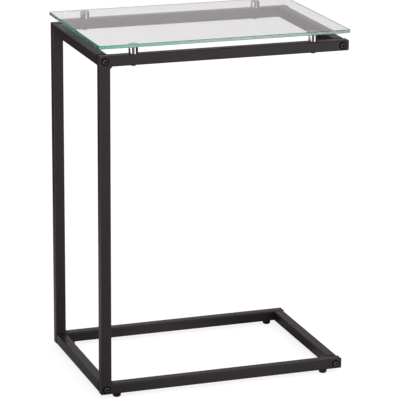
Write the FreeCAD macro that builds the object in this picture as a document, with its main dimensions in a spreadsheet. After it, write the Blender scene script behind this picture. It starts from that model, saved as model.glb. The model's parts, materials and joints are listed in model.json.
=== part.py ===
"""C-shaped side table: two C frames of square steel tube, joined by four crossbars, under a glass top.

Frame of the model: millimetres, +Z up, origin on the floor under the middle of the table.
X runs along the long side, with the posts at -X and the open side at +X. The front frame is at -Y.
"""

import FreeCAD, Part
import math
import os
import Sketcher
from FreeCAD import Placement, Rotation, Vector

SIZES = {
    # steel tube of the frames and crossbars
    "tube_side": 19.0,
    "tube_wall": 1.2,
    "tube_corner": 2.0,  # outer corner radius
    "frame_height": 618.0,  # underside of the base rails to top of the top rails
    "rail_length": 460.0,  # outer face of a post to the open end of a rail
    "frame_depth": 312.0,  # front face of the front frame to back face of the back frame
    "weld_leg": 4.5,
    "weld_end": 1.2,  # slope at each end of a weld bead
    # plastic plugs in the open ends of the rails
    "plug_cap": 2.5,
    "plug_edge": 1.6,
    "plug_wall": 1.6,
    "plug_lamella": 0.8,
    "plug_lamella_reach": 0.9,
    "plug_clearance": 0.1,
    "plug_bolt_gap": 0.9,  # between the plug's inner end and the frame bolt
    # crossbar end plates and the bolts that hold the frames to them
    "joint_gap": 3.0,  # from a frame to the end of a crossbar's tube, bridged by the plate's collar
    "plate_thickness": 4.0,
    "plate_collar": 12.0,
    "bolt_thread": 6.0,
    "bolt_hole_clearance": 0.25,
    "thread_clearance": 0.05,
    "bolt_tail": 4.0,
    "bolt_flange": 14.0,
    "bolt_flange_thickness": 1.0,
    "bolt_head": 9.6,
    "bolt_head_height": 3.2,
    "bolt_head_round": 1.6,
    "bolt_socket": 4.0,  # across flats
    "bolt_socket_depth": 2.4,
    # stand-offs between the top rails and the glass, and the screws under them
    "standoff_diameter": 16.5,
    "standoff_height": 12.5,
    "standoff_edge": 0.7,
    "standoff_inset": 63.0,
    "standoff_thread": 5.0,
    "standoff_crown": 3.5,  # solid metal above the threaded hole
    "pad_thickness": 0.5,
    "screw_end_gap": 1.5,  # between the screw's tip and the end of the threaded hole
    "screw_hole_clearance": 0.25,
    "screw_head": 9.0,
    "screw_head_height": 2.5,
    "screw_head_round": 1.3,
    "screw_socket": 3.0,
    "screw_socket_depth": 1.6,
    # glass top
    "glass_thickness": 6.0,
    "glass_overhang": 2.0,
    "glass_corner": 4.0,
    "glass_arris": 0.7,
    # levelling feet and the rivet nuts that they screw into
    "foot_height": 8.0,  # floor to underside of the base rails, screwed right in
    "foot_diameter": 15.0,
    "foot_round": 3.6,
    "foot_inset": 31.0,
    "foot_gap": 0.3,  # between the foot and the rivet nut
    "foot_flute": 0.9,
    "foot_flute_bite": 0.5,
    "stud_thread": 6.0,
    "stud_embed": 4.0,
    "stud_reach": 13.0,  # above the underside of the base rail
    "stud_point": 0.8,
    "rivet_flange": 10.0,
    "rivet_flange_thickness": 0.8,
    "rivet_barrel": 8.0,
    "rivet_length": 10.0,
    "rivet_hole_clearance": 0.1,
}

FOOT_FLUTES = 12
LAMELLA_PLACES = ("1 / 3", "1")  # shares of the plug's depth
ROUND_LIMIT = 0.8  # largest share of a thickness that a rounded edge takes
LEAST_INNER_CORNER = 0.2  # share of the tube's outer corner radius
TINY = 1e-3  # tolerance for finding edges

doc = FreeCAD.newDocument("c_side_table")
sheet = doc.addObject("Spreadsheet::Sheet", "Sizes")
for row, (alias, number) in enumerate(SIZES.items(), start=1):
    sheet.set(f"A{row}", alias)
    sheet.set(f"B{row}", str(number))
    sheet.setAlias(f"B{row}", alias)
doc.recompute()


def size(name):
    """Names one cell of the sheet in an expression."""
    return f"Sizes.{name}"


def value(expression):
    """The number that an expression of sheet cells comes to."""
    result = sheet.evalExpression(str(expression))
    return float(getattr(result, "Value", result))


def rounding(radius, *thicknesses):
    """The radius of a rounded edge, held below each thickness that it runs into."""
    limits = [f"{ROUND_LIMIT} * ({thickness})" for thickness in thicknesses]
    return f"min({'; '.join([radius, *limits])})"


# ---------------------------------------------------------------- lengths that several pieces share

SIDE = size("tube_side")
CORNER = size("tube_corner")
INNER_SIDE = f"({SIDE} - 2 * {size('tube_wall')})"
INNER_CORNER = f"max({CORNER} - {size('tube_wall')}; {LEAST_INNER_CORNER} * {CORNER})"
LEFT = f"(-({size('rail_length')} + {size('plug_cap')}) / 2)"  # outer face of the posts
RAIL_END = f"({LEFT} + {size('rail_length')})"
LEFT_AXIS = f"({LEFT} + {SIDE} / 2)"
RIGHT_AXIS = f"({RAIL_END} - {SIDE} / 2)"
FRAME_AXIS = f"(({size('frame_depth')} - {SIDE}) / 2)"  # distance of each frame from the middle
FRAME_FACE = f"({size('frame_depth')} / 2)"
CROSSBAR_SPAN = f"({size('frame_depth')} - 2 * {SIDE})"  # from frame to frame
CROSSBAR_LENGTH = f"({CROSSBAR_SPAN} - 2 * {size('joint_gap')})"
BASE_UNDERSIDE = size("foot_height")
BASE_AXIS = f"({BASE_UNDERSIDE} + {SIDE} / 2)"
FRAME_TOP = f"({BASE_UNDERSIDE} + {size('frame_height')})"
TOP_AXIS = f"({FRAME_TOP} - {SIDE} / 2)"
PAD_BOTTOM = f"({FRAME_TOP} + {size('standoff_height')})"
GLASS_BOTTOM = f"({PAD_BOTTOM} + {size('pad_thickness')})"
FOOT_TOP = f"({BASE_UNDERSIDE} - {size('rivet_flange_thickness')} - {size('foot_gap')})"
STANDOFF_BORE_DEPTH = f"({size('standoff_height')} - {size('standoff_crown')})"

BOLT_HOLE = f"({size('bolt_thread')} / 2 + {size('bolt_hole_clearance')})"
PLATE_BORE = f"({size('bolt_thread')} / 2 + {size('thread_clearance')})"
SCREW_HOLE = f"({size('standoff_thread')} / 2 + {size('screw_hole_clearance')})"
STANDOFF_BORE = f"({size('standoff_thread')} / 2 + {size('thread_clearance')})"
RIVET_HOLE = f"({size('rivet_barrel')} / 2 + {size('rivet_hole_clearance')})"
RIVET_BORE = f"({size('stud_thread')} / 2 + {size('thread_clearance')})"

FRAMES = {"front": -1, "back": 1}
LEVELS = {"top": TOP_AXIS, "base": BASE_AXIS}
ENDS = {"left": LEFT_AXIS, "right": RIGHT_AXIS}


def from_both_ends(inset):
    """The X of two places, inset from the posts' outer face and from the rails' open ends."""
    return {"left": f"({LEFT} + {inset})", "right": f"({RAIL_END} - {inset})"}


STANDOFF_X = from_both_ends(size("standoff_inset"))
FOOT_X = from_both_ends(size("foot_inset"))

ALONG_X = Rotation()
UPSIDE_DOWN = Rotation(Vector(1, 0, 0), 180)  # local +Z points down
UPRIGHT = Rotation(Vector(0, 1, 0), -90)  # local +X points up, local +Z to the left
CROSSWISE = Rotation(Vector(0, 0, 1), 90)  # local +X points to the back
INTO_FRONT = Rotation(Vector(1, 0, 0), -90)  # local +Z points to the back
INTO_BACK = Rotation(Vector(1, 0, 0), 90)  # local +Z points to the front


# ---------------------------------------------------------------- modelling helpers

parts = []


def new_body(label, kept=True):
    """Starts a body. A kept body is a sub-part of its own, and its label names its file."""
    body = doc.addObject("PartDesign::Body", label)
    body.Label = label
    if kept:
        parts.append(body)
    return body


def place(body, x, y, z, rotation=ALONG_X):
    """Turns a body and binds its place to the sheet."""
    body.Placement = Placement(Vector(), rotation)
    for axis, expression in zip("xyz", (x, y, z)):
        body.setExpression(f"Placement.Base.{axis}", str(expression))


def new_sketch(body, name, role, offset=None):
    """Attaches a sketch to one of the body's own origin planes, with an optional offset along its normal."""
    sketch = body.newObject("Sketcher::SketchObject", name)
    plane = next(feature for feature in body.Origin.OriginFeatures if feature.Role == role)
    sketch.AttachmentSupport = (plane, [""])
    sketch.MapMode = "FlatFace"
    if offset is not None:
        sketch.setExpression("AttachmentOffset.Base.z", offset)
    return sketch


def pin_point(sketch, geometry, point, x, y):
    """Binds one point of a sketch to the sheet, or to an axis where its coordinate is 0."""
    for kind, axis, expression in (("DistanceX", -2, x), ("DistanceY", -1, y)):
        if expression == "0":
            sketch.addConstraint(Sketcher.Constraint("PointOnObject", geometry, point, axis))
            continue
        datum = Sketcher.Constraint(kind, -1, 1, geometry, point, value(expression))
        index = sketch.addConstraint(datum)
        sketch.setExpression(f"Constraints[{index}]", expression)


def outline(sketch, corners):
    """Draws a closed outline of straight lines through corners, each an (x, y) pair of expressions."""
    points = [Vector(value(x), value(y), 0) for x, y in corners]
    count = len(points)
    for i in range(count):
        sketch.addGeometry(Part.LineSegment(points[i], points[(i + 1) % count]), False)
    for i in range(count):
        sketch.addConstraint(Sketcher.Constraint("Coincident", i, 2, (i + 1) % count, 1))
    for i, (x, y) in enumerate(corners):
        pin_point(sketch, i, 1, x, y)


def rectangle(sketch, width, depth):
    """Draws a rectangle about the sketch's origin."""
    x, y = f"({width}) / 2", f"({depth}) / 2"
    outline(sketch, [(f"-{x}", f"-{y}"), (x, f"-{y}"), (x, y), (f"-{x}", y)])


def circle(sketch, x, y, radius):
    """Draws a circle whose centre and radius are bound to the sheet."""
    centre = Vector(value(x), value(y), 0)
    index = sketch.addGeometry(Part.Circle(centre, Vector(0, 0, 1), value(radius)), False)
    pin_point(sketch, index, 3, x, y)
    datum = sketch.addConstraint(Sketcher.Constraint("Radius", index, value(radius)))
    sketch.setExpression(f"Constraints[{datum}]", radius)


def hexagon(sketch, across_flats):
    """Draws a hexagon about the sketch's origin, flats to left and right."""
    half = f"({across_flats}) / 2"
    rise = f"({across_flats}) / 2 * {math.tan(math.radians(30)):.6f}"
    point = f"({across_flats}) / 2 * {1 / math.cos(math.radians(30)):.6f}"
    corners = [("0", point), (f"-{half}", rise), (f"-{half}", f"-{rise}")]
    corners += [("0", f"-{point}"), (half, f"-{rise}"), (half, rise)]
    outline(sketch, corners)


def pad(body, sketch, length, reverse=False, both_ways=False):
    """Extrudes a sketch by a length that is bound to the sheet."""
    feature = body.newObject("PartDesign::Pad", f"{sketch.Name}_pad")
    feature.Profile = sketch
    feature.Reversed = reverse
    feature.Midplane = both_ways
    feature.setExpression("Length", length)
    doc.recompute()
    return feature


def pocket(body, sketch, length=None, reverse=False, both_ways=False):
    """Cuts a sketch into the body, right through if no length is given, and checks that it cut something."""
    before = body.Tip.Shape.Volume
    feature = body.newObject("PartDesign::Pocket", f"{sketch.Name}_pocket")
    feature.Profile = sketch
    feature.Reversed = reverse
    feature.Midplane = both_ways
    if length is None:
        feature.Type = "ThroughAll"
    else:
        feature.setExpression("Length", length)
    doc.recompute()
    if feature.Shape.Volume > before - TINY:
        raise RuntimeError(f"{feature.Name} cuts nothing")
    return feature


def revolve(body, sketch):
    """Turns a half profile once round the sketch's upright axis."""
    feature = body.newObject("PartDesign::Revolution", f"{sketch.Name}_turned")
    feature.Profile = sketch
    feature.ReferenceAxis = (sketch, ["V_Axis"])
    feature.Angle = 360
    doc.recompute()
    return feature


def edge_names(feature, test):
    """Names the edges of a feature that pass a test."""
    return [f"Edge{i}" for i, edge in enumerate(feature.Shape.Edges, start=1) if test(edge)]


def dress(body, kind, base, edges, measure):
    """Adds a Fillet or a Chamfer of a bound size to edges of its base feature."""
    feature = body.newObject(f"PartDesign::{kind}", f"{base.Name}_{kind.lower()}")
    feature.Base = (base, edges)
    feature.setExpression("Radius" if kind == "Fillet" else "Size", measure)
    doc.recompute()
    return feature


def is_straight_along(edge, axis):
    """Says whether an edge is a straight line parallel to an axis."""
    return edge.Curve.TypeId == "Part::GeomLine" and abs(edge.Curve.Direction.dot(axis)) > 1 - TINY


def is_circle_at(edge, height, radius):
    """Says whether an edge is a full circle round local Z at a height."""
    if edge.Curve.TypeId != "Part::GeomCircle" or not edge.isClosed():
        return False
    return abs(edge.Curve.Center.z - height) < TINY and abs(edge.Curve.Radius - radius) < TINY


def group(label, bodies):
    """Gathers identical pieces as separate solids of one sub-part."""
    compound = doc.addObject("Part::Compound", label)
    compound.Label = label
    compound.Links = bodies
    parts.append(compound)
    return compound


# ---------------------------------------------------------------- square tube

def square_tube(label, length, mitred_ends=()):
    """A hollow square tube along local X, its mitred ends longest on the local +Z side."""
    body = new_body(label)
    outer = new_sketch(body, f"{label}_outer", "YZ_Plane")
    rectangle(outer, SIDE, SIDE)
    bar = pad(body, outer, length)
    corners = edge_names(bar, lambda edge: is_straight_along(edge, Vector(1, 0, 0)))
    dress(body, "Fillet", bar, corners, CORNER)

    inner = new_sketch(body, f"{label}_inner", "YZ_Plane")
    rectangle(inner, INNER_SIDE, INNER_SIDE)
    hollow = pocket(body, inner, reverse=True)
    half = value(INNER_SIDE) / 2

    def is_inner_corner(edge):
        middle = edge.CenterOfMass
        on_corner = abs(abs(middle.y) - half) < TINY and abs(abs(middle.z) - half) < TINY
        return is_straight_along(edge, Vector(1, 0, 0)) and on_corner

    dress(body, "Fillet", hollow, edge_names(hollow, is_inner_corner), INNER_CORNER)
    for end in mitred_ends:
        cut_mitre(body, f"{label}_{end}", length, end)
    return body


def cut_mitre(body, name, length, end):
    """Cuts one end of a tube at 45 degrees, through the outer corner on the local +Z side."""
    base, sign = ("0", 1) if end == "start" else (length, -1)
    near = f"{base} - {sign} * {SIDE} / 2"
    far = f"{base} + {sign} * 3 * {SIDE} / 2"
    sketch = new_sketch(body, f"{name}_mitre", "XZ_Plane")
    outline(sketch, [(near, SIDE), (far, f"-{SIDE}"), (near, f"-{SIDE}")])
    pocket(body, sketch, both_ways=True)


def drill_across(body, name, places, radius):
    """Drills through both side walls of a tube, along local Y."""
    sketch = new_sketch(body, f"{name}_cross_holes", "XZ_Plane")
    for x in places:
        circle(sketch, x, "0", radius)
    pocket(body, sketch, both_ways=True)


def make_post(frame, side):
    """The upright tube of one C frame, mitred at both ends."""
    height = size("frame_height")
    body = square_tube(f"{frame}_post", height, ("start", "end"))
    drill_across(body, body.Name, [f"{SIDE} / 2", f"{height} - {SIDE} / 2"], BOLT_HOLE)
    place(body, LEFT_AXIS, f"{side} * {FRAME_AXIS}", BASE_UNDERSIDE, UPRIGHT)


def make_rail(frame, side, level):
    """A top or base rail: mitred to the post, open at the other end, and drilled for what it carries."""
    length = size("rail_length")
    body = square_tube(f"{frame}_{level}_rail", length, ("start",))
    drill_across(body, body.Name, [f"{SIDE} / 2", f"{length} - {SIDE} / 2"], BOLT_HOLE)
    inset = size("standoff_inset") if level == "top" else size("foot_inset")
    radius = SCREW_HOLE if level == "top" else RIVET_HOLE
    sketch = new_sketch(body, f"{body.Name}_upright_holes", "XY_Plane")
    for x in (inset, f"{length} - {inset}"):
        circle(sketch, x, "0", radius)
    pocket(body, sketch, reverse=level == "base", both_ways=level == "top")
    turn = ALONG_X if level == "top" else UPSIDE_DOWN
    place(body, LEFT, f"{side} * {FRAME_AXIS}", LEVELS[level], turn)


def make_end_plate(name):
    """A threaded plate for the end of a crossbar. Local Z = 0 is the tube's end, and +Z points at the frame."""
    plate = new_body(name, kept=False)
    face = new_sketch(plate, f"{name}_face", "XY_Plane")
    rectangle(face, INNER_SIDE, INNER_SIDE)
    block = pad(plate, face, size("plate_thickness"), reverse=True)
    corners = edge_names(block, lambda edge: is_straight_along(edge, Vector(0, 0, 1)))
    dress(plate, "Fillet", block, corners, INNER_CORNER)
    collar = new_sketch(plate, f"{name}_collar", "XY_Plane")
    circle(collar, "0", "0", f"{size('plate_collar')} / 2")
    pad(plate, collar, size("joint_gap"))
    thread = new_sketch(plate, f"{name}_thread", "XY_Plane")
    circle(thread, "0", "0", PLATE_BORE)
    pocket(plate, thread, both_ways=True)
    return plate


def make_crossbar(end, level):
    """A tube that spans the two frames, with a threaded plate welded into each end."""
    name = f"{end}_{level}_crossbar"
    body = square_tube(name, CROSSBAR_LENGTH)
    place(body, ENDS[end], f"-{CROSSBAR_LENGTH} / 2", LEVELS[level], CROSSWISE)
    plates = []
    for frame, side in FRAMES.items():
        plate = make_end_plate(f"{name}_{frame}_plate")
        turn = INTO_BACK if side < 0 else INTO_FRONT
        place(plate, ENDS[end], f"{side} * {CROSSBAR_LENGTH} / 2", LEVELS[level], turn)
        plates.append(plate)
    group(f"{name}_end_plates", plates)


def make_corner_welds(frame, side):
    """The two beads in the inner corners of one C frame, between the post and its rails."""
    beads = []
    corners = {"top": (f"{FRAME_TOP} - {SIDE}", -1), "base": (f"{BASE_UNDERSIDE} + {SIDE}", 1)}
    flat_width = f"({SIDE} - 2 * {CORNER})"
    for level, (corner, sign) in corners.items():
        bead = new_body(f"{frame}_{level}_weld", kept=False)
        sketch = new_sketch(bead, f"{bead.Name}_section", "XZ_Plane")
        leg = size("weld_leg")
        outline(sketch, [("0", "0"), (leg, "0"), ("0", f"{sign} * {leg}")])
        prism = pad(bead, sketch, flat_width, both_ways=True)

        def is_sloped_end(edge):
            direction = edge.Curve.Direction
            return abs(direction.x) > TINY and abs(direction.z) > TINY

        dress(bead, "Chamfer", prism, edge_names(prism, is_sloped_end), size("weld_end"))
        place(bead, f"{LEFT} + {SIDE}", f"{side} * {FRAME_AXIS}", corner)
        beads.append(bead)
    group(f"{frame}_corner_welds", beads)


# ---------------------------------------------------------------- rail end plugs

def make_plug(frame, side, level):
    """A plastic plug: a rounded cap over the tube's end, and a core with lamellae that grip the walls."""
    body = new_body(f"{frame}_{level}_rail_plug")
    face = new_sketch(body, f"{body.Name}_face", "YZ_Plane")
    rectangle(face, SIDE, SIDE)
    cap = pad(body, face, size("plug_cap"))
    corners = edge_names(cap, lambda edge: is_straight_along(edge, Vector(1, 0, 0)))
    cap = dress(body, "Fillet", cap, corners, CORNER)
    outer = value(size("plug_cap"))
    rim = edge_names(cap, lambda edge: abs(edge.BoundBox.XMin - outer) < TINY)
    dress(body, "Fillet", cap, rim, rounding(size("plug_edge"), size("plug_cap"), CORNER))

    depth = f"({SIDE} / 2 - {size('bolt_thread')} / 2 - {size('plug_bolt_gap')})"
    grip = f"{INNER_SIDE} - 2 * {size('plug_clearance')}"
    core_side = f"{grip} - 2 * {size('plug_lamella_reach')}"
    hollow_side = f"{core_side} - 2 * {size('plug_wall')}"
    core = new_sketch(body, f"{body.Name}_core", "YZ_Plane")
    rectangle(core, core_side, core_side)
    pad(body, core, depth, reverse=True)
    for share in LAMELLA_PLACES:
        lamella = new_sketch(body, f"{body.Name}_lamella", "YZ_Plane", f"-{depth} * {share}")
        rectangle(lamella, grip, grip)
        pad(body, lamella, size("plug_lamella"))
    hollow = new_sketch(body, f"{body.Name}_hollow", "YZ_Plane", f"-{depth}")
    rectangle(hollow, hollow_side, hollow_side)
    pocket(body, hollow, depth, reverse=True)
    place(body, RAIL_END, f"{side} * {FRAME_AXIS}", LEVELS[level])


# ---------------------------------------------------------------- screws and bolts

def button_screw(label, thread, reach, head, head_height, head_round, socket, socket_depth, flange=None):
    """A button-head screw: its head below local Z = 0, its shank above, and a hexagon socket in the head."""
    body = new_body(label, kept=False)
    shank, top = f"{thread} / 2", f"{head} / 2"
    button = head_height
    profile = [("0", f"-{head_height}"), (top, f"-{head_height}")]
    if flange:
        width, thickness = flange
        button = f"{head_height} - {thickness}"
        profile += [(top, f"-{thickness}"), (f"{width} / 2", f"-{thickness}"), (f"{width} / 2", "0")]
    else:
        profile += [(top, "0")]
    profile += [(shank, "0"), (shank, reach), ("0", reach)]
    sketch = new_sketch(body, f"{label}_profile", "XZ_Plane")
    outline(sketch, profile)
    turned = revolve(body, sketch)
    crown = edge_names(turned, lambda edge: is_circle_at(edge, -value(head_height), value(top)))
    dress(body, "Fillet", turned, crown, rounding(head_round, button))
    tip = new_sketch(body, f"{label}_socket", "XY_Plane", f"-{head_height}")
    hexagon(tip, socket)
    pocket(body, tip, socket_depth, reverse=True)
    return body


def make_frame_bolts(frame, side):
    """Four flanged button-head bolts through one frame into the crossbar end plates."""
    bolts = []
    reach = f"({SIDE} + {size('joint_gap')} + {size('plate_thickness')} + {size('bolt_tail')})"
    for end, level in ((end, level) for end in ENDS for level in LEVELS):
        bolt = button_screw(
            f"{frame}_{end}_{level}_bolt", size("bolt_thread"), reach, size("bolt_head"),
            size("bolt_head_height"), size("bolt_head_round"), size("bolt_socket"),
            size("bolt_socket_depth"), (size("bolt_flange"), size("bolt_flange_thickness")),
        )
        turn = INTO_FRONT if side < 0 else INTO_BACK
        place(bolt, ENDS[end], f"{side} * {FRAME_FACE}", LEVELS[level], turn)
        bolts.append(bolt)
    group(f"{frame}_frame_bolts", bolts)


def make_glass_screws():
    """Four button-head screws, up through the top rails into the stand-offs."""
    screws = []
    reach = f"({SIDE} + {STANDOFF_BORE_DEPTH} - {size('screw_end_gap')})"
    for frame, side in FRAMES.items():
        for end, x in STANDOFF_X.items():
            screw = button_screw(
                f"{frame}_{end}_glass_screw", size("standoff_thread"), reach,
                size("screw_head"), size("screw_head_height"), size("screw_head_round"),
                size("screw_socket"), size("screw_socket_depth"),
            )
            place(screw, x, f"{side} * {FRAME_AXIS}", f"{FRAME_TOP} - {SIDE}")
            screws.append(screw)
    group("glass_screws", screws)


# ---------------------------------------------------------------- stand-offs and glass

def make_standoff(frame, side, end):
    """A chromed cylinder on a top rail, threaded from below, with a clear bonding pad under the glass."""
    name = f"{frame}_{end}"
    x, y = STANDOFF_X[end], f"{side} * {FRAME_AXIS}"
    body = new_body(f"{name}_standoff")
    radius, height = f"({size('standoff_diameter')} / 2)", size("standoff_height")
    sketch = new_sketch(body, f"{body.Name}_profile", "XZ_Plane")
    outline(sketch, [
        (STANDOFF_BORE, "0"), (radius, "0"), (radius, height),
        ("0", height), ("0", STANDOFF_BORE_DEPTH), (STANDOFF_BORE, STANDOFF_BORE_DEPTH),
    ])
    turned = revolve(body, sketch)
    ends = (0, value(height))
    rims = edge_names(turned, lambda edge: any(is_circle_at(edge, z, value(radius)) for z in ends))
    dress(body, "Chamfer", turned, rims, size("standoff_edge"))
    place(body, x, y, FRAME_TOP)

    bond = new_body(f"{name}_bonding_pad")
    disc = new_sketch(bond, f"{bond.Name}_disc", "XY_Plane")
    circle(disc, "0", "0", f"{radius} - {size('standoff_edge')}")
    pad(bond, disc, size("pad_thickness"))
    place(bond, x, y, PAD_BOTTOM)


def make_glass():
    """The glass top: a flat pane with rounded corners and a ground arris on every edge."""
    body = new_body("glass_top")
    sketch = new_sketch(body, "glass_outline", "XY_Plane")
    length = f"{size('rail_length')} + {size('plug_cap')} + 2 * {size('glass_overhang')}"
    depth = f"{size('frame_depth')} + 2 * {size('glass_overhang')}"
    rectangle(sketch, length, depth)
    pane = pad(body, sketch, size("glass_thickness"))
    upright = edge_names(pane, lambda edge: is_straight_along(edge, Vector(0, 0, 1)))
    pane = dress(body, "Fillet", pane, upright, size("glass_corner"))
    rims = edge_names(pane, lambda edge: edge.BoundBox.ZLength < TINY)
    dress(body, "Chamfer", pane, rims, size("glass_arris"))
    place(body, "0", "0", GLASS_BOTTOM)


# ---------------------------------------------------------------- levelling feet

def make_foot(frame, side, end):
    """A levelling foot: a fluted plastic button, domed below, moulded round a threaded steel stud."""
    name = f"{frame}_{end}_foot"
    x, y = FOOT_X[end], f"{side} * {FRAME_AXIS}"
    radius, thread = f"({size('foot_diameter')} / 2)", f"({size('stud_thread')} / 2)"
    stud_bottom = f"({FOOT_TOP} - {size('stud_embed')})"
    heel_round = rounding(size("foot_round"), FOOT_TOP)
    body = new_body(name)
    sketch = new_sketch(body, f"{name}_profile", "XZ_Plane")
    outline(sketch, [
        ("0", "0"), (radius, "0"), (radius, FOOT_TOP),
        (thread, FOOT_TOP), (thread, stud_bottom), ("0", stud_bottom),
    ])
    button = revolve(body, sketch)
    heel = edge_names(button, lambda edge: is_circle_at(edge, 0, value(radius)))
    dress(body, "Fillet", button, heel, heel_round)
    flute = new_sketch(body, f"{name}_flute", "XY_Plane", FOOT_TOP)
    circle(flute, f"{radius} + {size('foot_flute')} - {size('foot_flute_bite')}", "0", size("foot_flute"))
    first = pocket(body, flute, f"{FOOT_TOP} - {heel_round}")
    flutes = body.newObject("PartDesign::PolarPattern", f"{name}_flutes")
    flutes.Originals = [first]
    flutes.Axis = (sketch, ["V_Axis"])
    flutes.Angle = 360
    flutes.Occurrences = FOOT_FLUTES
    body.Tip = flutes
    place(body, x, y, "0")

    stud = new_body(f"{name}_stud")
    point, top = size("stud_point"), f"({BASE_UNDERSIDE} + {size('stud_reach')})"
    shank = new_sketch(stud, f"{stud.Name}_profile", "XZ_Plane")
    outline(shank, [
        ("0", stud_bottom), (thread, stud_bottom), (thread, f"{top} - {point}"),
        (f"{thread} - {point}", top), ("0", top),
    ])
    revolve(stud, shank)
    place(stud, x, y, "0")


def make_rivet_nuts():
    """Four threaded rivet nuts, their flanges under the base rails and their barrels inside."""
    nuts = []
    flange, barrel = f"{size('rivet_flange')} / 2", f"{size('rivet_barrel')} / 2"
    lip, length = size("rivet_flange_thickness"), size("rivet_length")
    for frame, side in FRAMES.items():
        for end, x in FOOT_X.items():
            nut = new_body(f"{frame}_{end}_rivet_nut", kept=False)
            sketch = new_sketch(nut, f"{nut.Name}_profile", "XZ_Plane")
            outline(sketch, [
                (RIVET_BORE, f"-{lip}"), (flange, f"-{lip}"), (flange, "0"),
                (barrel, "0"), (barrel, length), (RIVET_BORE, length),
            ])
            revolve(nut, sketch)
            place(nut, x, f"{side} * {FRAME_AXIS}", BASE_UNDERSIDE)
            nuts.append(nut)
    group("foot_rivet_nuts", nuts)


# ---------------------------------------------------------------- assembly

for frame, side in FRAMES.items():
    make_post(frame, side)
    for level in LEVELS:
        make_rail(frame, side, level)
        make_plug(frame, side, level)
    make_corner_welds(frame, side)
    make_frame_bolts(frame, side)
    for end in ENDS:
        make_standoff(frame, side, end)
        make_foot(frame, side, end)
for end in ENDS:
    for level in LEVELS:
        make_crossbar(end, level)
make_glass_screws()
make_glass()
make_rivet_nuts()
doc.recompute()

for thing in doc.Objects:
    if {"Invalid", "Error"} & set(thing.State):
        raise RuntimeError(f"{thing.Label} failed: {thing.State}")
for part in parts:
    if part.Shape.isNull() or not part.Shape.isValid() or not part.Shape.Solids:
        raise RuntimeError(f"{part.Label} has no valid shape")

os.makedirs("parts", exist_ok=True)
for part in parts:
    part.Shape.exportStep(os.path.join("parts", f"{part.Label}.step"))
print(len(parts), "sub-parts written")
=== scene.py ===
"""C-shaped side table: finishes, glass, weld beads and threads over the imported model, in a white studio.

Metres, in the model's own frame: +Z up, origin on the floor under the middle of the table, posts at -X.
"""

import json
import math

import bmesh
import bpy
from mathutils import Matrix, Vector


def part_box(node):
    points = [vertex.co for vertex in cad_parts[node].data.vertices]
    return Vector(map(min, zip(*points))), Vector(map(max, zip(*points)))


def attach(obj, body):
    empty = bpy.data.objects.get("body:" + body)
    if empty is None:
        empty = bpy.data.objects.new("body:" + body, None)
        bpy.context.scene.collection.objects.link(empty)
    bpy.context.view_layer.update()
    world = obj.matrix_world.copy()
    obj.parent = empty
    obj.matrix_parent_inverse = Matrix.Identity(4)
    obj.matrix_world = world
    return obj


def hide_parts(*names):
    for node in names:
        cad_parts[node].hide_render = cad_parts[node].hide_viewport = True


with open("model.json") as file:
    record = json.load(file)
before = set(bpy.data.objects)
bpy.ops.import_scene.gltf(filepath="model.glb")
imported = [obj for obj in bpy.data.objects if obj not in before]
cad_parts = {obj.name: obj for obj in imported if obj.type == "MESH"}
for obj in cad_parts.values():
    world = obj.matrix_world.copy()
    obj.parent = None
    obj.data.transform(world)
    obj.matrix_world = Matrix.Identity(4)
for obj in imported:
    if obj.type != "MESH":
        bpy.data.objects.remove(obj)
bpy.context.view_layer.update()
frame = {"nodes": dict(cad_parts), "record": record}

MM = 0.001
SIDES = ("front", "back")
ENDS = ("left", "right")
CORNERS = [f"{side}_{end}" for side in SIDES for end in ENDS]


# ---------------------------------------------------------------- shader helpers

NOISE_RANGE = (0.3, 0.7)  # where nearly all of a noise pattern lies
MIX_COLOURS = (6, 7)  # the Mix node's colour inputs, whose names its other inputs share
MIX_RESULT = 2


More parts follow.
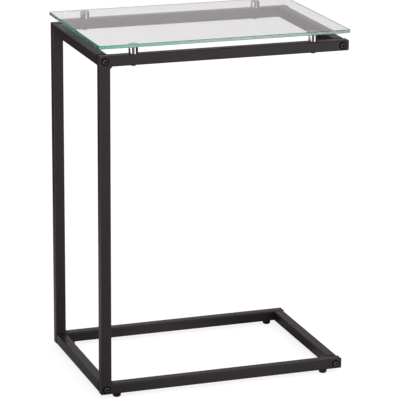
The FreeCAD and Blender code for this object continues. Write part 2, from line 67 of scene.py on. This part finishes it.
class Finish:
    """A material with one Principled shader, and short calls for the nodes that the finishes share.

    Patterns are in the object's own coordinates, which are the model's metres, so a pattern's
    size is a real size: a grain of 0.5 mm has that size on every piece.
    """

    def __init__(self, name, **constants):
        self.material = bpy.data.materials.new(name)
        self.material.use_nodes = True
        self.nodes = self.material.node_tree.nodes
        self.links = self.material.node_tree.links
        self.shader = self.nodes["Principled BSDF"]
        self.coordinates = self.nodes.new("ShaderNodeTexCoord").outputs["Object"]
        for socket, constant in constants.items():
            self.shader.inputs[socket.replace("_", " ")].default_value = constant

    def drive(self, socket, output):
        """Links a pattern to one of the shader's sockets."""
        self.links.new(output, self.shader.inputs[socket])

    def noise(self, grain, detail=2.0, stretch=(1, 1, 1)):
        """Noise with features about one grain across, longer along an axis that is stretched."""
        mapping = self.nodes.new("ShaderNodeMapping")
        mapping.inputs["Scale"].default_value = [1 / (grain * longer) for longer in stretch]
        texture = self.nodes.new("ShaderNodeTexNoise")
        texture.inputs["Scale"].default_value = 1.0
        texture.inputs["Detail"].default_value = detail
        self.links.new(self.coordinates, mapping.inputs["Vector"])
        self.links.new(mapping.outputs["Vector"], texture.inputs["Vector"])
        return texture.outputs["Fac"]

    def colours(self, pattern, *stops):
        """A colour ramp over a pattern; each stop is (place, (red, green, blue))."""
        ramp = self.nodes.new("ShaderNodeValToRGB")
        elements = ramp.color_ramp.elements
        while len(elements) < len(stops):
            elements.new(1.0)
        for element, (place, colour) in zip(elements, stops):
            element.position = place
            element.color = (*colour, 1.0)
        self.links.new(pattern, ramp.inputs["Fac"])
        return ramp.outputs["Color"]

    def remap(self, pattern, span, low=0.0, high=1.0):
        """The pattern, with its span mapped to low ... high."""
        remap = self.nodes.new("ShaderNodeMapRange")
        for socket, number in zip(("From Min", "From Max", "To Min", "To Max"), (*span, low, high)):
            remap.inputs[socket].default_value = number
        self.links.new(pattern, remap.inputs["Value"])
        return remap.outputs["Result"]

    def blend(self, pattern, span, *colours):
        """Goes from one colour to another, each a vector or a pattern, while a pattern crosses its span."""
        mix = self.nodes.new("ShaderNodeMix")
        mix.data_type = "RGBA"
        self.links.new(self.remap(pattern, span), mix.inputs["Factor"])
        for index, colour in zip(MIX_COLOURS, colours):
            if isinstance(colour, Vector):
                mix.inputs[index].default_value = (*colour, 1.0)
            else:
                self.links.new(colour, mix.inputs[index])
        return mix.outputs[MIX_RESULT]

    def paint(self, noise, dark, light):
        """The base colour, which goes from dark to light with the noise."""
        low, high = NOISE_RANGE
        self.drive("Base Color", self.colours(noise, (low, dark), (high, light)))

    def roughen(self, noise, low, high):
        """The roughness, which goes from low to high with the noise."""
        self.drive("Roughness", self.remap(noise, NOISE_RANGE, low, high))

    def bump(self, *layers):
        """Bumps of (pattern, height in metres), one over the other, to the shader's normal."""
        normal = None
        for pattern, height in layers:
            bump = self.nodes.new("ShaderNodeBump")
            bump.inputs["Distance"].default_value = height
            self.links.new(pattern, bump.inputs["Height"])
            if normal:
                self.links.new(normal, bump.inputs["Normal"])
            normal = bump.outputs["Normal"]
        self.drive("Normal", normal)


# ---------------------------------------------------------------- finishes

def powder_coat():
    """Satin powder coat, a brownish black with fine orange peel."""
    finish = Finish("powder_coat", Specular_IOR_Level=0.40)
    patches, peel, grain = finish.noise(30 * MM), finish.noise(1.3 * MM), finish.noise(0.35 * MM)
    finish.paint(patches, (0.0240, 0.0190, 0.0180), (0.0285, 0.0227, 0.0217))
    finish.roughen(grain, 0.30, 0.40)
    finish.bump((peel, 0.05 * MM), (grain, 0.012 * MM))
    return finish.material


def black_plastic():
    """Moulded black plastic with a fine spark-eroded grain."""
    finish = Finish("black_plastic", Specular_IOR_Level=0.35)
    cloud, grain = finish.noise(6 * MM), finish.noise(0.25 * MM)
    finish.paint(cloud, (0.0066, 0.0063, 0.0063), (0.0096, 0.0090, 0.0090))
    finish.roughen(cloud, 0.42, 0.55)
    finish.bump((grain, 0.02 * MM))
    return finish.material


SCREW_TONES = ((0.7, 0.65, 0.64), (1.3, 1.22, 1.2))  # dark and light, times a finish's own tone


def black_screw(name, tone):
    """Black oxide on steel: dark, a little metallic, with worn high spots."""
    finish = Finish(name, Metallic=0.7, Specular_IOR_Level=0.5)
    cloud, grain = finish.noise(1.6 * MM), finish.noise(0.2 * MM)
    finish.paint(cloud, *([tone * part for part in colour] for colour in SCREW_TONES))
    finish.roughen(cloud, 0.28, 0.42)
    finish.bump((grain, 0.006 * MM))
    return finish.material


def flange_painted_shade():
    """The bolts' flanges and sockets: a near-black, matt copy of the screws' black, darkened as painted shade
    round each head and in the sockets' hollows.
    """
    finish = Finish("flange_painted_shade", Specular_IOR_Level=0.04)
    cloud, grain = finish.noise(1.6 * MM), finish.noise(0.2 * MM)
    finish.paint(cloud, (0.004, 0.004, 0.004), (0.008, 0.0075, 0.0075))
    finish.roughen(cloud, 0.5, 0.65)
    finish.bump((grain, 0.006 * MM))
    return finish.material


def chrome():
    """Chromed stand-offs with faint turning marks round the axis."""
    finish = Finish("chrome", Metallic=1.0)
    turning = finish.noise(0.12 * MM, detail=4.0, stretch=(400, 400, 1))
    haze = finish.noise(3 * MM)
    finish.paint(haze, (0.80, 0.81, 0.83), (0.88, 0.89, 0.90))
    finish.roughen(haze, 0.05, 0.09)
    finish.bump((turning, 0.002 * MM))
    return finish.material


def zinc_steel():
    """Bright zinc plating, a little cloudy."""
    finish = Finish("zinc_steel", Metallic=1.0)
    cloud, grain = finish.noise(2 * MM, detail=4.0), finish.noise(0.3 * MM)
    finish.paint(cloud, (0.52, 0.53, 0.56), (0.70, 0.71, 0.72))
    finish.roughen(cloud, 0.24, 0.40)
    finish.bump((grain, 0.008 * MM))
    return finish.material


def clear_bond():
    """Cured clear adhesive, slightly hazy."""
    finish = Finish("clear_bond", Transmission_Weight=1.0, IOR=1.47)
    haze = finish.noise(0.8 * MM)
    finish.paint(haze, (0.90, 0.91, 0.90), (0.97, 0.98, 0.97))
    finish.roughen(haze, 0.10, 0.22)
    return finish.material


GLASS_IOR = 1.52
GLASS_COLOUR = (0.07, 0.62, 0.50)  # of each colour, (1 - GLASS_COLOUR) * GLASS_DENSITY is absorbed per metre
GLASS_DENSITY = 1.7
GLASS_BOUNCES = 48  # light crosses the pane by many reflections inside it
GLASS_WAY = (1.0, -0.3, 0.0)  # places along it rise down the left edge, and then along the front edge
GLASS_CLOUD = 25 * MM
RIPPLE_LENGTH = 20  # times its height
RAMP_MIDDLE = 0.5  # a ramp goes from 0 to 1, and the places along the glass from -0.28 to 0.28

# Colours by place along GLASS_WAY: the pane's back left corner is at -0.28, its front left corner at -0.19,
# its back right corner at 0.19 and its front right corner at 0.28. The faces get a plain tint. The edges and
# arrises get a green tint with painted light on it, greener or clearer by place, and the arrises a painted
# highlight.
CLEAR_TINTS = (
    (-0.25, (0.925, 0.945, 0.940)),
    (0.25, (0.931, 0.950, 0.945)),
)
# The edge's green tint and painted light: deep green at places down the left edge, white from the middle of
# the front on.
EDGE_GREEN_AND_PAINTED_LIGHT = (
    (-0.264, (1.0, 1.0, 1.0)),
    (-0.24, (0.16, 0.76, 0.65)),
    (-0.225, (0.16, 0.76, 0.65)),
    (-0.19, (0.40, 0.94, 0.83)),
    (0.03, (1.0, 1.0, 1.0)),
)
# The arrises' green tint and painted highlight: mint at the front left corner, greyer along the front.
ARRIS_GREEN_AND_PAINTED_HIGHLIGHT = (
    (-0.19, (0.42, 0.98, 0.86)),
    (-0.11, (0.80, 0.96, 0.92)),
    (-0.05, (0.62, 0.68, 0.65)),
)


def glass(name, tints_and_painted_light, roughness, ripple):
    """Clear float glass, green where the light travels far in it. Its base colour changes along GLASS_WAY: a
    tint on the faces, and on the edges and arrises a green tint with painted light on it.
    """
    finish = Finish(name, Transmission_Weight=1.0, IOR=GLASS_IOR)
    cloud, waviness = finish.noise(GLASS_CLOUD), finish.noise(ripple * RIPPLE_LENGTH)
    along = finish.nodes.new("ShaderNodeVectorMath")
    along.operation = "DOT_PRODUCT"
    along.inputs[1].default_value = GLASS_WAY
    finish.links.new(finish.coordinates, along.inputs[0])
    shifted = finish.nodes.new("ShaderNodeMath")
    shifted.inputs[1].default_value = RAMP_MIDDLE
    finish.links.new(along.outputs["Value"], shifted.inputs[0])
    # The base colour by place: a tint on the faces, and a green tint with painted light on the edges and
    # arrises.
    finish.drive("Base Color", finish.colours(
        shifted.outputs["Value"], *((place + RAMP_MIDDLE, tint) for place, tint in tints_and_painted_light)))
    finish.roughen(cloud, *roughness)
    finish.bump((waviness, ripple))
    absorption = finish.nodes.new("ShaderNodeVolumeAbsorption")
    absorption.inputs["Color"].default_value = (*GLASS_COLOUR, 1.0)
    absorption.inputs["Density"].default_value = GLASS_DENSITY
    finish.links.new(absorption.outputs["Volume"], finish.nodes["Material Output"].inputs["Volume"])
    return finish.material


FINISHES = {
    "powder_coat": powder_coat(),
    "black_plastic": black_plastic(),
    "black_screw": black_screw("black_screw", 0.03),
    "chrome": chrome(),
    "zinc_steel": zinc_steel(),
    "clear_bond": clear_bond(),
    "clear_glass": glass("clear_glass", CLEAR_TINTS, roughness=(0.0, 0.004), ripple=0.0001 * MM),
}
# The edges: a green tint with painted light by place.
EDGE_FINISH = glass("glass_edge", EDGE_GREEN_AND_PAINTED_LIGHT, roughness=(0.20, 0.26), ripple=0.002 * MM)
# The arrises: a green tint with a painted highlight by place.
ARRIS_FINISH = glass("ground_edge", ARRIS_GREEN_AND_PAINTED_HIGHLIGHT, roughness=(0.30, 0.40), ripple=0.002 * MM)
# The bolts' heads: a lighter copy of the screws' black, a painted highlight.
DOME_PAINTED_HIGHLIGHT_FINISH = black_screw("bolt_dome_painted_highlight", 0.105)
# The bolts' flanges and sockets: near-black and matt, painted shade.
FLANGE_PAINTED_SHADE_FINISH = flange_painted_shade()


# ---------------------------------------------------------------- pieces

UPRIGHT = (Vector((1, 0, 0)), Vector((0, 1, 0)), Vector((0, 0, 1)))  # axes of a level circle


def slot_of(node):
    """The record's material slot of a CAD node."""
    return next(part["material_slot"] for part in frame["record"]["subparts"] if part["node"] == node)


def dress_cad_nodes():
    """Gives every CAD node the finish of its slot."""
    for name, node in frame["nodes"].items():
        for slot in node.material_slots:
            slot.material = FINISHES[slot_of(name)]


SMOOTH_BELOW = math.radians(35)


def new_piece(name, bm, slot, *materials):
    """Makes a piece from a bmesh, smooth where its faces meet at less than SMOOTH_BELOW."""
    bmesh.ops.recalc_face_normals(bm, faces=bm.faces)
    mesh = bpy.data.meshes.new(name)
    bm.to_mesh(mesh)
    bm.free()
    for material in materials:
        mesh.materials.append(material)
    mesh.polygons.foreach_set("use_smooth", [True] * len(mesh.polygons))
    mesh.set_sharp_from_angle(angle=SMOOTH_BELOW)
    piece = bpy.data.objects.new(name, mesh)
    bpy.context.scene.collection.objects.link(piece)
    return piece


def loft(bm, rings, closed=True):
    """Joins rings of as many points each with quads. Returns each ring's points and each band's quads."""
    rows = [[bm.verts.new(point) for point in ring] for ring in rings]
    bands = []
    for low, high in zip(rows, rows[1:]):
        count = len(low)
        last = count if closed else count - 1
        bands.append([bm.faces.new((low[i], low[(i + 1) % count], high[(i + 1) % count], high[i]))
                      for i in range(last)])
    return rows, bands


def cap(bm, *rows):
    """Closes each of these rings with one face."""
    for row in rows:
        bm.faces.new(row)


def dress(bands, index):
    """Gives bands of faces the material at this place in their piece's list."""
    for band in bands:
        for face in band:
            face.material_index = index


def circle(centre, axes, radius, height, steps):
    """Points of a circle. The axes are two across it and the one along which height counts."""
    across, over, along = axes
    return [centre + across * radius * math.cos(2 * math.pi * i / steps)
            + over * radius * math.sin(2 * math.pi * i / steps) + along * height for i in range(steps)]


GLASS_CORNER = 4.0 * MM
GLASS_ARRIS = 0.75 * MM
GLASS_CORNER_STEPS = 10


def rounded_outline(low, high, inset, z):
    """Points round the pane at a height, with its corners as arcs, inset from its edge."""
    radius = GLASS_CORNER - inset
    points = []
    for quarter, (x, y) in enumerate(((high.x, high.y), (low.x, high.y), (low.x, low.y), (high.x, low.y))):
        inward = Vector((-1 if x > 0 else 1, -1 if y > 0 else 1))
        centre = Vector((x, y)) + GLASS_CORNER * inward
        for step in range(GLASS_CORNER_STEPS + 1):
            angle = math.radians(90) * (quarter + step / GLASS_CORNER_STEPS)
            points.append((centre.x + radius * math.cos(angle), centre.y + radius * math.sin(angle), z))
    return points


def make_glass_pane():
    """The pane: clear faces, and a flat edge between two ground arrises."""
    low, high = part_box("glass_top")
    bm = bmesh.new()
    rows, bands = loft(bm, [
        rounded_outline(low, high, GLASS_ARRIS, low.z),
        rounded_outline(low, high, 0, low.z + GLASS_ARRIS),
        rounded_outline(low, high, 0, high.z - GLASS_ARRIS),
        rounded_outline(low, high, GLASS_ARRIS, high.z),
    ])
    cap(bm, rows[0], rows[-1])
    lower_arris, edge, upper_arris = bands
    dress([edge], 1)
    dress([lower_arris, upper_arris], 2)
    pane = new_piece("glass_pane", bm, "clear_glass", FINISHES["clear_glass"], EDGE_FINISH, ARRIS_FINISH)
    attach(pane, "frame")
    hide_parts("glass_top")


WELD_RIPPLE = 1.7 * MM
WELD_RIPPLE_DEPTH = 0.16 * MM
WELD_SWELL = 0.1  # of the bead's leg
WELD_RUN_OUT = 1.4 * MM
WELD_BLUNTNESS = 0.02  # keeps the bead's ends from closing to a line
WELD_STEPS = 90
WELD_ARC_STEPS = 8


def weld_bead(bm, corner, up, leg, y_range):
    """One bead in an inner corner: a slightly full face with ripples, running out at both ends."""
    start, end = y_range
    rings = []
    for step in range(WELD_STEPS + 1):
        share = step / WELD_STEPS
        y = start + (end - start) * share
        from_end = min(share, 1 - share) * (end - start)
        taper = math.sqrt(min(1.0, from_end / WELD_RUN_OUT + WELD_BLUNTNESS))
        ripple = WELD_RIPPLE_DEPTH * math.sin(2 * math.pi * y / WELD_RIPPLE)
        ring = [(corner.x, y, corner.z)]
        for i in range(WELD_ARC_STEPS + 1):
            along = i / WELD_ARC_STEPS
            swell = math.sqrt(0.5) * math.sin(math.pi * along) * (WELD_SWELL * leg + ripple)
            out_x = leg * (1 - along) + swell
            out_z = leg * along + swell
            ring.append((corner.x + taper * out_x, y, corner.z + up * taper * out_z))
        rings.append(ring)
    rows, _ = loft(bm, rings)
    cap(bm, rows[0], rows[-1])


def make_weld_beads(side):
    """The two rippled beads of one C frame, in place of the plain wedges."""
    node = f"{side}_corner_welds"
    low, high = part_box(node)
    leg = high.x - low.x
    bm = bmesh.new()
    weld_bead(bm, Vector((low.x, 0, high.z)), -1, leg, (low.y, high.y))
    weld_bead(bm, Vector((low.x, 0, low.z)), 1, leg, (low.y, high.y))
    beads = new_piece(f"{side}_weld_beads", bm, "powder_coat", FINISHES["powder_coat"])
    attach(beads, "frame")
    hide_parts(node)


def hexagon(centre, axes, across_flats, height, steps):
    """A hexagon with as many points as a circle, so that the two can be joined."""
    across, over, along = axes
    points = []
    for i in range(steps):
        angle = 2 * math.pi * i / steps
        off_flat = (angle + math.pi / 6) % (math.pi / 3) - math.pi / 6
        reach = across_flats / 2 / math.cos(off_flat)
        points.append(centre + across * reach * math.cos(angle) + over * reach * math.sin(angle)
                      + along * height)
    return points


# The frame bolt, in millimetres. Pairs are a radius and a height over the frame's face.
BOLT_SHANK = ((3.0, -30.0), (3.0, 0.0))
BOLT_FLANGE = ((6.9, 0.0), (7.0, 0.15), (7.0, 0.55), (6.75, 0.9), (6.3, 1.0), (5.05, 1.0))
BOLT_DOME_FOOT = (4.85, 1.15)
BOLT_DOME_RISE = 2.05
BOLT_RIM_RADIUS = 2.75
BOLT_SOCKET = 4.4  # across its flats
BOLT_COUNTERSINK = 0.25
BOLT_SOCKET_DEPTH = 2.7
BOLT_DRILL_TIP = (0.3, 0.7)  # radius, and depth below the socket
BOLT_STEPS = 48
BOLT_DOME_STEPS = 8


def bolt_outline():
    """The bolt's turned outside, from the shank's end to the rim of the socket."""
    foot, base = BOLT_DOME_FOOT
    last = math.acos(BOLT_RIM_RADIUS / foot)
    dome = []
    for step in range(BOLT_DOME_STEPS + 1):
        angle = last * step / BOLT_DOME_STEPS
        dome.append((foot * math.cos(angle), base + BOLT_DOME_RISE * math.sin(angle) / math.sin(last)))
    return [*BOLT_SHANK, *BOLT_FLANGE, *dome]


def make_frame_bolts(side):
    """One frame's four bolts: a shank, a matt flange, and a button head with a hexagon socket. The flanges
    and sockets are near-black, painted shade; the heads are a lighter copy of the screws' black, a painted
    highlight.
    """
    low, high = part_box(f"{side}_post")
    face, out = (low.y, -1) if side == "front" else (high.y, 1)
    axes = (Vector((1, 0, 0)), Vector((0, 0, 1)), Vector((0, out, 0)))
    outline = bolt_outline()
    top = outline[-1][1]
    tip, tip_depth = BOLT_DRILL_TIP
    flange_start = len(BOLT_SHANK) - 1
    flange_end = flange_start + len(BOLT_FLANGE) + 1
    bm = bmesh.new()
    for end in ENDS:
        for level in ("top", "base"):
            low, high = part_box(f"{end}_{level}_crossbar")
            centre = Vector(((low.x + high.x) / 2, face, (low.z + high.z) / 2))
            rings = [circle(centre, axes, radius * MM, height * MM, BOLT_STEPS) for radius, height in outline]
            for depth in (BOLT_COUNTERSINK, BOLT_SOCKET_DEPTH):
                rings.append(hexagon(centre, axes, BOLT_SOCKET * MM, (top - depth) * MM, BOLT_STEPS))
            bottom = top - BOLT_SOCKET_DEPTH - tip_depth
            rings.append(circle(centre, axes, tip * MM, bottom * MM, BOLT_STEPS))
            rows, bands = loft(bm, rings)
            cap(bm, rows[0], rows[-1])
            flange, socket = bands[flange_start:flange_end], bands[-2:]
            # The flanges and sockets take the near-black finish, painted shade.
            dress(flange + socket, 1)
    bolts = new_piece(f"{side}_bolts", bm, "black_screw", DOME_PAINTED_HIGHLIGHT_FINISH, FLANGE_PAINTED_SHADE_FINISH)
    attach(bolts, "frame")
    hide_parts(f"{side}_frame_bolts")


BOND_CLEAR = 0.02 * MM  # to the stand-off below and to the glass above
BOND_WAIST = 0.25 * MM
BOND_RINGS = 6
BOND_STEPS = 40


def make_bond(corner):
    """The clear adhesive between a stand-off and the glass, with a hollow rim."""
    low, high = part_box(f"{corner}_bonding_pad")
    centre, radius = (low + high) / 2, (high.x - low.x) / 2
    centre.z = low.z
    height = high.z - low.z
    bm = bmesh.new()
    rings = []
    for step in range(BOND_RINGS + 1):
        share = step / BOND_RINGS
        waist = BOND_WAIST * math.sin(math.pi * share)
        rise = BOND_CLEAR + (height - 2 * BOND_CLEAR) * share
        rings.append(circle(centre, UPRIGHT, radius - waist, rise, BOND_STEPS))
    rows, _ = loft(bm, rings)
    cap(bm, rows[0], rows[-1])
    bond = new_piece(f"{corner}_bond", bm, "clear_bond", FINISHES["clear_bond"])
    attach(bond, "frame")
    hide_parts(f"{corner}_bonding_pad")


THREAD_PITCH = 1.0 * MM
THREAD_DEPTH = 0.55 * MM
THREAD_OUTLINE = ((0, 0.0), (0, 0.12), (1, 0.44), (1, 0.56), (0, 0.88), (0, 1.0))  # shares of depth and pitch
STUD_STEPS = 28  # in a turn
STUD_POINT = (0.4, 0.75)  # length over the stud's radius, and end radius over the root's


def make_threaded_stud(corner):
    """A foot's stud with its real thread, in place of the plain rod."""
    node = f"{corner}_foot_stud"
    low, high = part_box(node)
    centre, radius = (low + high) / 2, (high.x - low.x) / 2
    root = radius - THREAD_DEPTH
    turns = int((high.z - low.z) / THREAD_PITCH) - 1
    bm = bmesh.new()
    rings = []
    for step in range(turns * STUD_STEPS + 1):
        angle = 2 * math.pi * step / STUD_STEPS
        rise = low.z + THREAD_PITCH * step / STUD_STEPS
        section = []
        for depth, share in THREAD_OUTLINE:
            reach = root + depth * THREAD_DEPTH
            section.append((centre.x + reach * math.cos(angle), centre.y + reach * math.sin(angle),
                            rise + share * THREAD_PITCH))
        rings.append(section)
    loft(bm, rings, closed=False)
    length, end = STUD_POINT
    core = ((root, low.z), (root, high.z - length * radius), (end * root, high.z))
    centre.z = 0
    rows, _ = loft(bm, [circle(centre, UPRIGHT, width, z, STUD_STEPS) for width, z in core])
    cap(bm, rows[0], rows[-1])
    stud = new_piece(f"{corner}_threaded_stud", bm, "zinc_steel", FINISHES["zinc_steel"])
    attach(stud, f"{corner}_leveller")
    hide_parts(node)


# ---------------------------------------------------------------- studio

FLOOR_SIZE = 60.0
FLOOR_CLOUD = 0.4
FLOOR_TONES = (0.69, 0.71)
FLOOR_GLOW = 0.795
DOME_RADIUS = 25.0
DOME_RINGS = 24
DOME_TOP = 1e-4  # radius of its last ring
STUDIO_STEPS = 96
STUDIO_FOOT = Vector((0, 0, -MM))  # the dome and the floor's light start just below the floor
WALL = 0.05  # share of the dome's height where the wall starts going over to the shoulder
SHOULDER = 0.6  # share of the dome's height where the shoulder starts going over to the ceiling

# How bright the studio is by heading, in equal steps from -180 to 180 degrees, counterclockwise from +X.
# Fitted to how light the table's faces are in the photograph, and evened out for the other views.
FLOOR_LIGHT = (2.15, 2.15, 1.2, 0.0, 0.27, 0.0, 0.2, 0.93, 1.62, 0.0, 0.0, 0.0,
               0.0, 0.0, 0.0, 0.0, 0.0, 0.0, 0.0, 0.04, 0.0, 0.3, 0.7, 1.35, 2.15)
NEAR_FLOOR_LIGHT = (0.20, 0.16, 0.43, 0.51, 0.52, 0.48, 0.08, 0.12, 0.52, 0.60, 0.55, 0.24, 0.20)
NEAR_FLOOR = (0.35, 1.3)  # metres, where it starts and ends going over to the floor's light by heading
WALL_LIGHT = (0.3, 0.3, 1.0, 1.45, 1.5, 0.9, 0.2, 0.25, 0.64, 1.13, 0.3, 0.25, 0.3)
SHOULDER_LIGHT = (0.3, 0.4, 0.5, 1.0, 0.9, 0.6, 0.2, 0.15, 0.15, 0.15, 0.15, 0.2, 0.3)
CEILING_LIGHT = 0.35
LIGHT_TINT = Vector((1.0, 0.965, 0.965))
WALL_TINT = Vector((1.0, 0.925, 0.93))


def make_floor():
    """A wide, pale, softly back-lit floor, for the camera and for what is seen through the glass.

    The light that the table gets from below is make_floor_light's.
    """
    mesh = bpy.data.meshes.new("floor")
    half = FLOOR_SIZE / 2
    corners = [(-half, -half, 0), (half, -half, 0), (half, half, 0), (-half, half, 0)]
    mesh.from_pydata(corners, [], [(0, 1, 2, 3)])
    finish = Finish("floor", Roughness=0.9, Specular_IOR_Level=0.0,
                    Emission_Color=(1, 1, 1, 1), Emission_Strength=FLOOR_GLOW)
    finish.paint(finish.noise(FLOOR_CLOUD), *([tone] * 3 for tone in FLOOR_TONES))
    mesh.materials.append(finish.material)
    floor = bpy.data.objects.new("floor", mesh)
    floor.visible_diffuse = floor.visible_glossy = floor.visible_shadow = False  # it lights nothing itself
    bpy.context.scene.collection.objects.link(floor)


def panorama(finish, brightness, tint):
    """Brightness by heading round the table, as a colour."""
    gradient = finish.nodes.new("ShaderNodeTexGradient")
    gradient.gradient_type = "RADIAL"
    finish.links.new(finish.coordinates, gradient.inputs["Vector"])
    stops = [(i / (len(brightness) - 1), light * tint) for i, light in enumerate(brightness)]
    return finish.colours(gradient.outputs["Fac"], *stops)


def light_object(name, bm, finish):
    """An object of the studio that gives light and throws no shadow."""
    mesh = bpy.data.meshes.new(name)
    bm.to_mesh(mesh)
    bm.free()
    mesh.materials.append(finish.material)
    light = bpy.data.objects.new(name, mesh)
    light.visible_shadow = False
    bpy.context.scene.collection.objects.link(light)
    return light


def make_dome():
    """The studio's walls and ceiling, which light the table and which it mirrors."""
    rings = []
    for step in range(DOME_RINGS + 1):
        angle = math.radians(90) * step / DOME_RINGS
        radius = DOME_RADIUS * math.cos(angle) + DOME_TOP
        rings.append(circle(STUDIO_FOOT, UPRIGHT, radius, DOME_RADIUS * math.sin(angle), STUDIO_STEPS))
    bm = bmesh.new()
    rows, _ = loft(bm, rings)
    cap(bm, rows[-1])

    finish = Finish("dome_light", Base_Color=(0, 0, 0, 1), Specular_IOR_Level=0.0, Emission_Strength=1.0)
    split = finish.nodes.new("ShaderNodeSeparateXYZ")
    finish.links.new(finish.coordinates, split.inputs["Vector"])
    height = split.outputs["Z"]
    wall, shoulder = panorama(finish, WALL_LIGHT, WALL_TINT), panorama(finish, SHOULDER_LIGHT, LIGHT_TINT)
    sides = finish.blend(height, (WALL * DOME_RADIUS, SHOULDER * DOME_RADIUS), wall, shoulder)
    finish.drive("Emission Color", finish.blend(
        height, (SHOULDER * DOME_RADIUS, DOME_RADIUS), sides, CEILING_LIGHT * LIGHT_TINT))
    dome = light_object("dome", bm, finish)
    dome.visible_camera = False


def make_floor_light():
    """The light that comes up from the floor. The camera, and what is seen through the glass, skip it."""
    bm = bmesh.new()
    cap(bm, [bm.verts.new(point) for point in circle(STUDIO_FOOT, UPRIGHT, DOME_RADIUS, 0, STUDIO_STEPS)])
    finish = Finish("floor_light", Base_Color=(0, 0, 0, 1), Specular_IOR_Level=0.0, Emission_Strength=1.0)
    distance = finish.nodes.new("ShaderNodeVectorMath")
    distance.operation = "LENGTH"
    finish.links.new(finish.coordinates, distance.inputs[0])
    near, far = panorama(finish, NEAR_FLOOR_LIGHT, LIGHT_TINT), panorama(finish, FLOOR_LIGHT, LIGHT_TINT)
    finish.drive("Emission Color", finish.blend(distance.outputs["Value"], NEAR_FLOOR, near, far))
    light = light_object("floor_light", bm, finish)
    light.visible_camera = light.visible_transmission = False


def make_sky():
    """What the camera sees past the floor's edge."""
    world = bpy.data.worlds.new("studio")
    bpy.context.scene.world = world
    world.use_nodes = True
    world.node_tree.nodes["Background"].inputs["Color"].default_value = (1, 1, 1, 1)


# ---------------------------------------------------------------- camera

CAMERA_PLACE = Vector((-1.38834, -3.97467, 1.50841))
CAMERA_YAW = math.radians(19.344)
CAMERA_PITCH = math.radians(15.908)
CAMERA_ROLL = math.radians(0.377)
CAMERA_LENS = 214.02  # millimetres, on a sensor 36 mm wide


def make_camera():
    """The camera, to the left of the table and above it."""
    data = bpy.data.cameras.new("camera")
    data.sensor_width = 36.0
    data.lens = CAMERA_LENS
    data.clip_end = FLOOR_SIZE
    camera = bpy.data.objects.new("camera", data)
    turn = Matrix.Rotation(-CAMERA_YAW, 4, "Z") @ Matrix.Rotation(math.radians(90) - CAMERA_PITCH, 4, "X")
    camera.matrix_world = Matrix.Translation(CAMERA_PLACE) @ turn @ Matrix.Rotation(CAMERA_ROLL, 4, "Z")
    bpy.context.scene.collection.objects.link(camera)
    bpy.context.scene.camera = camera


dress_cad_nodes()
make_glass_pane()
for side in SIDES:
    make_weld_beads(side)
    make_frame_bolts(side)
for corner in CORNERS:
    make_bond(corner)
    make_threaded_stud(corner)
make_floor()
make_dome()
make_floor_light()
make_sky()
make_camera()
bpy.context.scene.view_settings.view_transform = "Standard"
cycles = bpy.context.scene.cycles
cycles.max_bounces = cycles.glossy_bounces = cycles.transmission_bounces = GLASS_BOUNCES
